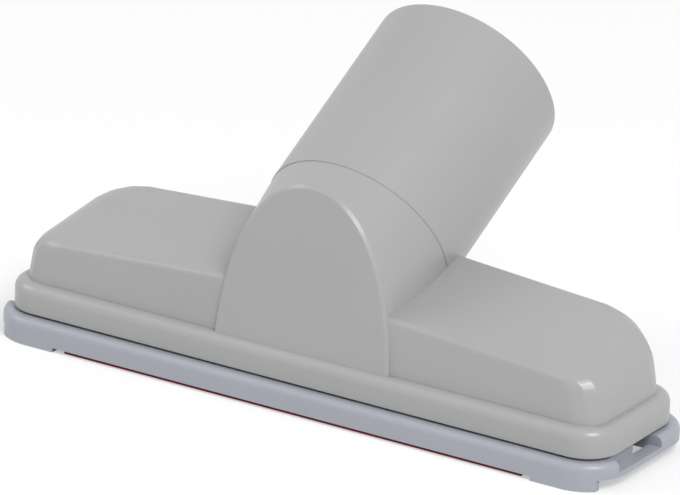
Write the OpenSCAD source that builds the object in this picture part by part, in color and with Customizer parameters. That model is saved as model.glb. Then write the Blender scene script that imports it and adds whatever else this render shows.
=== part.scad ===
// Upholstery nozzle of a vacuum cleaner: a hollow moulded housing with a leaning socket,
// on a sole plate that carries two lint strips.
// X runs along the nozzle, +Y is the side that the socket leans to, +Z is up.
// The four feet of the sole plate stand on Z = 0.

/* [Socket] */
// Bore that takes the suction tube
tube_bore = 32; // [28:0.5:36]
// Wall of the socket at its mouth
neck_wall = 2.25; // [1.8:0.05:3]
// Length of the straight socket, from the mould ring to the mouth
socket_l = 41; // [30:0.5:60]
// How deep the tube goes in before it meets the stop
bore_depth = 37; // [20:0.5:38]
// Width of the stop that the tube meets
stop_w = 1.4; // [0.8:0.1:2.5]
// Lean of the socket from upright, in degrees
neck_lean = 61.5; // [55:0.5:66]
// Distance from the heel of the socket to the mould ring
ring_back = 1.7; // [0.5:0.1:4]
// Step in the surface at the mould ring
ring_step = 0.12; // [0.05:0.01:0.3]
// Bevel round the mouth, inside and outside
mouth_bevel = 0.5; // [0.2:0.1:1]

/* [Shield] */
// Half the width that the arch would have at its widest
arch_half_w = 18.5; // [16:0.1:19.5]
// Height of the arch above the ledge of the flange
arch_h = 31.2; // [26:0.2:34]
// How far below the ledge the arch is widest
arch_drop = 4.7; // [2:0.1:8]
// Fullness of the arch, where 2 is an ellipse
arch_power = 2.15; // [2:0.05:2.6]
// How far the flat shield stands out of the front wall
shield_proud = 0.8; // [0.4:0.1:1.4]
// Lean of the shield from upright, in degrees
shield_lean = 4.5; // [2:0.5:8]
// Bevel round the edge of the shield
shield_bevel = 0.55; // [0.2:0.05:1]

/* [Hood] */
// Step from the flange to the hood, all round
ledge = 2.2; // [1.5:0.1:3]
// Radius of the upright corners of the hood
hood_r = 5; // [4:0.1:7]
// Height of the front wall above the ledge, at the middle
hood_h = 11.4; // [9:0.1:15]
// Rise of the top towards the rear, in degrees
top_pitch = 12.5; // [6:0.5:16]
// Fall of the top towards each end, in degrees
wing_fall = 3.7; // [1:0.1:6]
// Radius of the end of the hood at its front
end_r_front = 4; // [2.5:0.1:6]
// Radius of the end of the hood at its rear
end_r_rear = 10; // [6:0.1:12]
// Radius along the rim of the hood
rim_r = 1.2; // [0.8:0.1:2]
// Draft of the walls of the hood, from foot to rim
draft = 0.45; // [0.2:0.05:0.8]
// Wall of the hood, the flange and the lower neck
wall = 2; // [1.6:0.1:2.4]

/* [Flange] */
// Height of the flange
flange_h = 5.25; // [4.5:0.05:8]
// Radius of the shoulder of the flange
flange_round = 2; // [1:0.1:2.1]
// Step from the edge of the sole plate to the flange
flange_step = 1.95; // [1.5:0.05:2.5]

/* [Sole plate] */
// Length of the sole plate
sole_l = 130; // [124:1:160]
// Width of the sole plate
sole_w = 33.3; // [32:0.1:38]
// Radius of the corners of the sole plate
sole_r = 8.5; // [8:0.1:10]
// Radius of the upper edge of the sole plate
sole_round = 1.3; // [0.6:0.1:1.8]
// Top of the rim of the sole plate above the floor
sole_top = 5; // [4.6:0.1:6]
// Shadow gap between the rim and the flange
shadow_gap = 0.5; // [0.3:0.05:0.8]
// How far the seat stands in from the flange
seat_in = 1.3; // [0.8:0.1:1.8]
// Height of the feet below the sole
foot_h = 0.85; // [0.5:0.05:1.2]
// Length of each foot
foot_l = 12; // [8:0.5:12]
// Width of each foot
foot_w = 3.6; // [2.5:0.1:4]
// Height of the air gap under the ends
end_gap = 2.1; // [1.5:0.1:2.4]
// Length of the suction slot
slot_l = 92; // [60:1:94]
// Width of the suction slot
slot_w = 11; // [8:0.5:12]
// Height of the spigot that locates the housing
spigot_h = 3; // [2:0.1:3.2]
// Wall of the spigot
spigot_wall = 1.5; // [1.2:0.1:1.8]
// Clearance round the spigot
spigot_clear = 0.2; // [0.1:0.05:0.4]

/* [End notches] */
// Front side of each notch
notch_front = 10.2; // [8:0.1:11]
// Width of each notch
notch_w = 14.3; // [10:0.1:15]
// Height of the bar that closes each notch below
bar_h = 1; // [0.8:0.1:1.2]
// Width of the bar
bar_w = 2.7; // [2:0.1:3.2]
// Depth of the see-through hole behind the bar
hole_d = 3.6; // [2:0.1:4]
// Width of the see-through hole
hole_w = 5.6; // [4.5:0.1:8]

/* [Lint strips] */
// Length of each lint strip
strip_l = 96.4; // [80:0.2:98]
// Width of each lint strip
strip_w = 7; // [5:0.1:7.5]
// Thickness of each lint strip, pile and all
strip_t = 1.35; // [1:0.05:1.8]
// Height of the pile above the floor
strip_clear = 0.1; // [0.05:0.05:0.3]
// Edge of the sole plate outside each strip
strip_edge = 0.7; // [0.5:0.1:1]
// Clearance round each strip in its bed
bed_clear = 0.15; // [0.1:0.05:0.3]

/* [Hidden] */

sliver = 0.01;
past = 1;
arc_fn = 96;
hull_fn = 48;
edge_fn = 24;

neck_r = tube_bore / 2 + neck_wall;
duct_r = tube_bore / 2 - stop_w;

seat_z = sole_top + shadow_gap;
ledge_z = seat_z + flange_h;
flange_l = sole_l - 2 * flange_step;
flange_w = sole_w - 2 * flange_step;
flange_r = sole_r - flange_step;
hood_l = flange_l - 2 * ledge;
hood_w = flange_w - 2 * ledge;

// The lowest line of the socket comes out of the rear wall of the hood, just above the ledge.
heel_rise = 0.4;
ring_y = hood_w / 2 - neck_r * cos(neck_lean) + ring_back * sin(neck_lean);
ring_z = ledge_z + heel_rise + neck_r * sin(neck_lean) + ring_back * cos(neck_lean);

// The origin is under the middle of the whole nozzle.
reach_y = ring_y + socket_l * sin(neck_lean) + (neck_r - mouth_bevel) * cos(neck_lean);
middle_y = (reach_y - sole_w / 2) / 2;

shield_y = -hood_w / 2 - shield_proud;
strip_y = sole_w / 2 - strip_edge - strip_w / 2;
bed_z = strip_clear + strip_t;
foot_x = strip_l / 2 + 2.2;
notch_y = notch_w / 2 - notch_front;
end_y = sole_w / 2 - foot_w;

// Height of the top of the hood along its crest, at a place across the nozzle.
function top_z(y) = ledge_z + hood_h + tan(top_pitch) * (y + hood_w / 2);

// Radius of the end of the hood, which opens from front to rear like a cone.
function end_r(y) = end_r_front + (end_r_rear - end_r_front) * (y / hood_w + 0.5);

module at_centre() {
    translate([0, -middle_y, 0]) children();
}

module along_socket() {
    translate([0, ring_y, ring_z]) rotate([-neck_lean, 0, 0]) children();
}

module outline(l, w, r) {
    square([l - 2 * r, w], center = true);
    square([l, w - 2 * r], center = true);
    for (x = [-1, 1], y = [-1, 1])
        translate([x * (l / 2 - r), y * (w / 2 - r)]) circle(r, $fn = arc_fn);
}

module quarter_disc(round) {
    intersection() {
        circle(round, $fn = arc_fn);
        square(round);
    }
}

// A slab with upright sides, rounded corners and a rounded upper edge.
module rounded_slab(l, w, r, h, round) {
    inner_l = l - 2 * r;
    inner_w = w - 2 * r;
    linear_extrude(h - round) outline(l, w, r);
    linear_extrude(h) outline(l - 2 * round, w - 2 * round, r - round);
    for (turn = [0, 180]) rotate([0, 0, turn]) {
        translate([-inner_l / 2, w / 2 - round, h - round])
            rotate([90, 0, 90]) linear_extrude(inner_l) quarter_disc(round);
        translate([l / 2 - round, inner_w / 2, h - round])
            rotate([90, 0, 0]) linear_extrude(inner_w) quarter_disc(round);
    }
    for (x = [-1, 1], y = [-1, 1])
        translate([x * inner_l / 2, y * inner_w / 2, h - round])
            rotate_extrude($fn = arc_fn) translate([r - round, 0]) quarter_disc(round);
}

// One end of a section through the hood: a disc with a rounded rim, standing across X.
module end_disc(r, rim) {
    rotate([90, 0, 0]) rotate_extrude($fn = hull_fn)
        translate([r - rim, 0]) circle(rim, $fn = edge_fn);
}

// The hood as one convex body, with all of its walls moved in by inset.
// Its sections stand at places round the corners, so the corners are round in plan.
module hood_form(inset) {
    l = hood_l - 2 * inset;
    w = hood_w - 2 * inset;
    r = hood_r - inset;
    rim = max(rim_r - inset / 2, 0.3);
    hull() {
        translate([0, 0, ledge_z - sliver]) linear_extrude(sliver) outline(l, w, r);
        for (side = [-1, 1], a = [0, 30, 60, 90]) {
            y = side * (w / 2 - draft - r + (r - rim) * cos(a));
            half = l / 2 - draft - r + (r - rim) * sin(a) + rim;
            disc_r = end_r(y) - inset;
            x = half - disc_r;
            crest = top_z(y) - inset;
            z = crest - x * tan(wing_fall) - disc_r / cos(wing_fall);
            for (end = [-1, 1]) translate([end * x, y, z]) end_disc(disc_r, rim);
            translate([0, y, crest - rim]) sphere(rim, $fn = edge_fn);
        }
    }
}

// Outline of the shield, moved in by inset. It starts inside the flange, below the ledge.
module arch(inset) {
    n = arch_power;
    full = arch_h + arch_drop;
    half = arch_half_w - inset;
    tall = full - inset;
    below = 2;
    steps = 28;
    low = arch_drop - below;
    heights = [for (i = [0:steps]) low + (tall - low) * sin(90 * i / steps)];
    side = [for (h = heights) [half * pow(max(1 - pow(h / tall, n), 0), 1 / n), h - arch_drop]];
    polygon(concat(side, [for (i = [steps - 1:-1:0]) [-side[i][0], side[i][1]]]));
}

// A sheet of the shield, from a depth behind its front face.
module shield_sheet(depth, inset) {
    translate([0, shield_y, ledge_z]) rotate([90 - shield_lean, 0, 0])
        translate([0, 0, -depth - sliver]) linear_extrude(sliver) arch(inset);
}

module lower_neck() {
    hull() {
        along_socket() translate([0, 0, -sliver])
            cylinder(r = neck_r - ring_step, h = sliver, $fn = arc_fn);
        shield_sheet(0, shield_bevel);
        shield_sheet(shield_bevel, 0);
    }
}

module lower_duct() {
    hull() {
        along_socket() translate([0, 0, -sliver])
            cylinder(r = duct_r, h = sliver, $fn = arc_fn);
        shield_sheet(wall, wall + ring_step);
    }
}

module socket() {
    straight = socket_l - mouth_bevel;
    along_socket() {
        cylinder(r = neck_r, h = straight, $fn = arc_fn);
        translate([0, 0, straight])
            cylinder(r1 = neck_r, r2 = neck_r - mouth_bevel, h = mouth_bevel, $fn = arc_fn);
    }
}

// The bore for the tube, its stop, and the narrower duct below the stop.
module socket_bore() {
    r = tube_bore / 2;
    along_socket() {
        translate([0, 0, -sliver]) cylinder(r = duct_r, h = socket_l, $fn = arc_fn);
        translate([0, 0, socket_l - bore_depth]) cylinder(r = r, h = bore_depth + past, $fn = arc_fn);
        translate([0, 0, socket_l - mouth_bevel])
            cylinder(r1 = r, r2 = r + mouth_bevel + past, h = mouth_bevel + past, $fn = arc_fn);
    }
}

module housing() {
    cavity_h = flange_h - wall;
    color("darkgray") at_centre() difference() {
        union() {
            translate([0, 0, seat_z])
                rounded_slab(flange_l, flange_w, flange_r, flange_h, flange_round);
            hood_form(0);
            lower_neck();
            socket();
        }
        hood_form(wall);
        lower_duct();
        socket_bore();
        translate([0, 0, seat_z - past]) linear_extrude(cavity_h + past)
            outline(flange_l - 2 * wall, flange_w - 2 * wall, flange_r - wall);
        translate([0, 0, seat_z]) linear_extrude(flange_h)
            outline(hood_l - 2 * wall, hood_w - 2 * wall, hood_r - wall);
    }
}

// The part of the sole plate that stands up inside the flange.
module spigot() {
    gap = 2 * (wall + spigot_clear);
    l = flange_l - gap;
    w = flange_w - gap;
    r = flange_r - gap / 2;
    difference() {
        linear_extrude(spigot_h) outline(l, w, r);
        translate([0, 0, -past]) linear_extrude(spigot_h + 2 * past)
            outline(l - 2 * spigot_wall, w - 2 * spigot_wall, r - spigot_wall);
    }
}

// A foot at each corner, cut out of the outline of the sole plate.
module feet() {
    linear_extrude(foot_h + sliver) intersection() {
        outline(sole_l, sole_w, sole_r);
        for (x = [-1, 1], y = [-1, 1])
            translate([x * (foot_x + foot_l / 2), y * (sole_w / 2 - foot_w / 2)])
                square([foot_l, foot_w], center = true);
    }
}

// The notch at one end: open to the end above a bar, with a hole behind the rear half.
module end_notch() {
    edge = sole_l / 2;
    floor_z = end_gap + bar_h;
    above = spigot_h + seat_z + past;
    translate([edge - bar_w, -notch_front, floor_z]) cube([bar_w + past, notch_w, above]);
    translate([edge - bar_w - hole_d, notch_y + notch_w / 2 - hole_w, -past])
        cube([hole_d, hole_w, above + past]);
}

// The air gap under one end, between the feet and out past them.
module end_relief() {
    room = sole_l / 2 - foot_x + past;
    translate([foot_x, -end_y, -past]) cube([room, 2 * end_y, end_gap + past]);
    translate([foot_x + foot_l, -sole_w / 2 - past, -past])
        cube([room, sole_w + 2 * past, end_gap + past]);
}

module strip_bed(side) {
    translate([0, side * strip_y, -past]) linear_extrude(bed_z + past)
        square([strip_l + 2 * bed_clear, strip_w + 2 * bed_clear], center = true);
}

module sole_plate() {
    seat_h = seat_z - sole_top;
    color("lightslategray") at_centre() difference() {
        union() {
            translate([0, 0, foot_h])
                rounded_slab(sole_l, sole_w, sole_r, sole_top - foot_h, sole_round);
            translate([0, 0, sole_top - sliver]) linear_extrude(seat_h + sliver)
                outline(flange_l - 2 * seat_in, flange_w - 2 * seat_in, flange_r - seat_in);
            translate([0, 0, seat_z - sliver]) spigot();
            feet();
        }
        translate([0, 0, -past]) linear_extrude(seat_z + 2 * past)
            outline(slot_l, slot_w, slot_w / 2 - sliver);
        for (turn = [0, 1]) mirror([turn, 0, 0]) {
            end_notch();
            end_relief();
        }
        for (side = [-1, 1]) strip_bed(side);
    }
}

// A strip of velour, with its backing in the bed and its pile facing down.
module lint_strip(side) {
    color("darkred") at_centre() translate([-strip_l / 2, side * strip_y - strip_w / 2, strip_clear])
        cube([strip_l, strip_w, strip_t]);
}

module lint_strip_front() {
    lint_strip(-1);
}

module lint_strip_rear() {
    lint_strip(1);
}

housing();
sole_plate();
lint_strip_front();
lint_strip_rear();
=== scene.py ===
# %% [markdown]
# # A vacuum upholstery nozzle
#
# The CAD model gives the frame: a hollow housing with a leaning socket, a sole plate, and two lint
# strips. This lesson gives them their look: grey moulded plastic, blue-grey moulded plastic, and
# dark red velour.

# %%
import math

import bpy
import numpy as np
from mathutils import Matrix, Vector

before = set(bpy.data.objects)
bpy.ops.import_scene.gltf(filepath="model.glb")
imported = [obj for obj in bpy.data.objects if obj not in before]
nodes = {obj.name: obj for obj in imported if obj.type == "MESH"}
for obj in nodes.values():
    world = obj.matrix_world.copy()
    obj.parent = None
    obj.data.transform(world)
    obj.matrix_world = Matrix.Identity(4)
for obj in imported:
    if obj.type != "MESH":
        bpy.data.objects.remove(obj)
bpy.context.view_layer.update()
print("CAD nodes:", sorted(nodes))

MM = 0.001

# %% [markdown]
# ## Helpers for materials
#
# Colours are written as on a screen, and turned into the linear values that Blender works in.


# %%
def linear(hex_colour):
    """Screen colour to linear light: c / 12.92 below 0.04045, else ((c + 0.055) / 1.055) to the power 2.4."""
    parts = [int(hex_colour[i : i + 2], 16) / 255 for i in (1, 3, 5)]
    return [c / 12.92 if c < 0.04045 else ((c + 0.055) / 1.055) ** 2.4 for c in parts] + [1.0]


def add_node(tree, kind, settings=None, links=None, **attributes):
    """Adds a node, sets its attributes and its inputs by name or number, and links inputs to outputs."""
    made = tree.nodes.new(kind)
    for name, value in attributes.items():
        setattr(made, name, value)
    for name, value in (settings or {}).items():
        made.inputs[name].default_value = value
    for name, source in (links or {}).items():
        tree.links.new(source, made.inputs[name])
    return made


def new_material(name):
    """A material with an empty node tree and its output node."""
    material = bpy.data.materials.new(name)
    material.use_nodes = True
    tree = material.node_tree
    tree.nodes.clear()
    return material, tree, add_node(tree, "ShaderNodeOutputMaterial")


print("sRGB #808080 is linear", round(linear("#808080")[0], 3))


# %% [markdown]
# ## Moulded plastic
#
# ABS with a polished mould finish. The colour varies very little, and the surface has a faint
# waviness of a few millimetres from shrinkage, and a finer grain.


# %%
def moulded_plastic(name, colour, shade, roughness, wave_mm, wave_height_mm):
    """Smooth plastic: base colour mixed by slow noise, roughness, and a very low bump."""
    material, tree, output = new_material(name)
    coords = add_node(tree, "ShaderNodeTexCoord").outputs["Object"]
    tone = add_node(tree, "ShaderNodeTexNoise", {"Scale": 60.0, "Detail": 2.0}, {"Vector": coords})
    mix = add_node(
        tree, "ShaderNodeMix", {"A": linear(colour), "B": linear(shade)}, {"Factor": tone.outputs["Fac"]},
        data_type="RGBA",
    ) if False else None
    blend = tree.nodes.new("ShaderNodeMix")
    blend.data_type = "RGBA"
    colour_inputs = [s for s in blend.inputs if s.type == "RGBA"]
    colour_inputs[0].default_value = linear(colour)
    colour_inputs[1].default_value = linear(shade)
    tree.links.new(tone.outputs["Fac"], blend.inputs[0])
    result = [s for s in blend.outputs if s.type == "RGBA"][0]
    wave = add_node(
        tree, "ShaderNodeTexNoise", {"Scale": 1000 / wave_mm, "Detail": 1.0, "Roughness": 0.4}, {"Vector": coords}
    )
    bump = add_node(
        tree, "ShaderNodeBump", {"Strength": 1.0, "Distance": wave_height_mm * MM}, {"Height": wave.outputs["Fac"]}
    )
    shader = add_node(
        tree,
        "ShaderNodeBsdfPrincipled",
        {"Roughness": roughness, "IOR": 1.5},
        {"Base Color": result, "Normal": bump.outputs["Normal"]},
    )
    tree.links.new(shader.outputs[0], output.inputs[0])
    return material


housing_plastic = moulded_plastic("ABS plastic, grey", "#9D9E9D", "#999A99", 0.30, 9.0, 0.006)
sole_plastic = moulded_plastic("ABS plastic, blue-grey", "#9B9EA6", "#979AA2", 0.34, 9.0, 0.006)
velour, velour_tree, velour_out = new_material("Velour, dark red")
velour_shader = add_node(
    velour_tree, "ShaderNodeBsdfPrincipled", {"Base Color": linear("#6E0A1E"), "Roughness": 0.9}
)
velour_tree.links.new(velour_shader.outputs[0], velour_out.inputs[0])

for name, material in (
    ("housing", housing_plastic),
    ("sole_plate", sole_plastic),
    ("lint_strip_front", velour),
    ("lint_strip_rear", velour),
):
    mesh = nodes[name].data
    mesh.materials.clear()
    mesh.materials.append(material)

# %% [markdown]
# ## Camera
#
# A long lens, looking down on the nozzle from the front right. The numbers come from fitting a
# camera to points of the photograph.

# %%
TURN, TILT, ROLL = math.radians(31.348), math.radians(21.122), math.radians(2.086)
AIM = Vector((-0.461, 0.0 - 16.569, 26.895)) * MM
DISTANCE = 1764.7 * MM
LENS = 523.3

forward = Vector((-math.sin(TURN) * math.cos(TILT), math.cos(TURN) * math.cos(TILT), -math.sin(TILT)))
side = forward.cross(Vector((0, 0, 1))).normalized()
upward = side.cross(forward)
right = math.cos(ROLL) * side + math.sin(ROLL) * upward
top = -math.sin(ROLL) * side + math.cos(ROLL) * upward
camera_data = bpy.data.cameras.new("camera")
camera_data.lens = LENS
camera_data.sensor_width = 36.0
camera_data.clip_start, camera_data.clip_end = 0.1, 100.0
camera = bpy.data.objects.new("camera", camera_data)
bpy.context.scene.collection.objects.link(camera)
camera.matrix_world = Matrix.Translation(AIM - forward * DISTANCE) @ Matrix(
    (right, top, -forward)
).transposed().to_4x4()
bpy.context.scene.camera = camera
print("camera at", [round(c, 3) for c in camera.location])

# %% [markdown]
# ## Studio

# %%
scene = bpy.context.scene
scene.view_settings.view_transform = "Standard"


def area_light(name, direction, distance, size, power, colour="#FFFFFF"):
    """A rectangular lamp at a direction from the object, facing it."""
    data = bpy.data.lights.new(name, "AREA")
    data.shape = "RECTANGLE"
    data.size, data.size_y = size
    data.energy = power
    data.color = linear(colour)[:3]
    lamp = bpy.data.objects.new(name, data)
    scene.collection.objects.link(lamp)
    middle = Vector((0, 0, 0.02))
    place = Vector(direction).normalized() * distance
    lamp.location = middle + place
    lamp.rotation_mode = "QUATERNION"
    lamp.rotation_quaternion = place.to_track_quat("Z", "Y")
    return lamp


world = bpy.data.worlds.new("studio")
world.use_nodes = True
scene.world = world
world_tree = world.node_tree
world_tree.nodes.clear()
rays = add_node(world_tree, "ShaderNodeLightPath")
seen = add_node(
    world_tree, "ShaderNodeMath", {}, {0: rays.outputs["Is Camera Ray"], 1: rays.outputs["Is Glossy Ray"]},
    operation="MAXIMUM",
)
seen = add_node(
    world_tree, "ShaderNodeMath", {}, {0: seen.outputs[0], 1: rays.outputs["Is Transmission Ray"]},
    operation="MAXIMUM",
)
dome = add_node(world_tree, "ShaderNodeBackground", {"Color": (1, 1, 1, 1), "Strength": 0.62})
white = add_node(world_tree, "ShaderNodeBackground", {"Color": (1, 1, 1, 1), "Strength": 1.0})
both = add_node(world_tree, "ShaderNodeMixShader", {}, {0: seen.outputs[0], 1: dome.outputs[0], 2: white.outputs[0]})
world_out = add_node(world_tree, "ShaderNodeOutputWorld", {}, {0: both.outputs[0]})

area_light("key, high on the right", (0.75, -0.45, 1.0), 1.2, (0.5, 0.5), 9.0)
area_light("fill, left", (-1.0, -0.4, 0.8), 1.4, (0.6, 0.6), 4.0)

floor_mesh = bpy.data.meshes.new("floor")
floor_mesh.from_pydata([(-6, -6, 0), (6, -6, 0), (6, 12, 0), (-6, 12, 0)], [], [(0, 1, 2, 3)])
floor = bpy.data.objects.new("floor", floor_mesh)
scene.collection.objects.link(floor)
floor_material, floor_tree, floor_out = new_material("floor, white")
floor_rays = add_node(floor_tree, "ShaderNodeLightPath")
floor_diffuse = add_node(floor_tree, "ShaderNodeBsdfDiffuse", {"Color": linear("#F2F2F2")})
floor_glow = add_node(floor_tree, "ShaderNodeEmission", {"Color": (1, 1, 1, 1), "Strength": 1.0})
floor_share = add_node(
    floor_tree, "ShaderNodeMath", {1: 0.45}, {0: floor_rays.outputs["Is Camera Ray"]}, operation="MULTIPLY"
)
floor_mix = add_node(
    floor_tree, "ShaderNodeMixShader", {},
    {0: floor_share.outputs[0], 1: floor_diffuse.outputs[0], 2: floor_glow.outputs[0]},
)
floor_tree.links.new(floor_mix.outputs[0], floor_out.inputs[0])
floor_mesh.materials.append(floor_material)
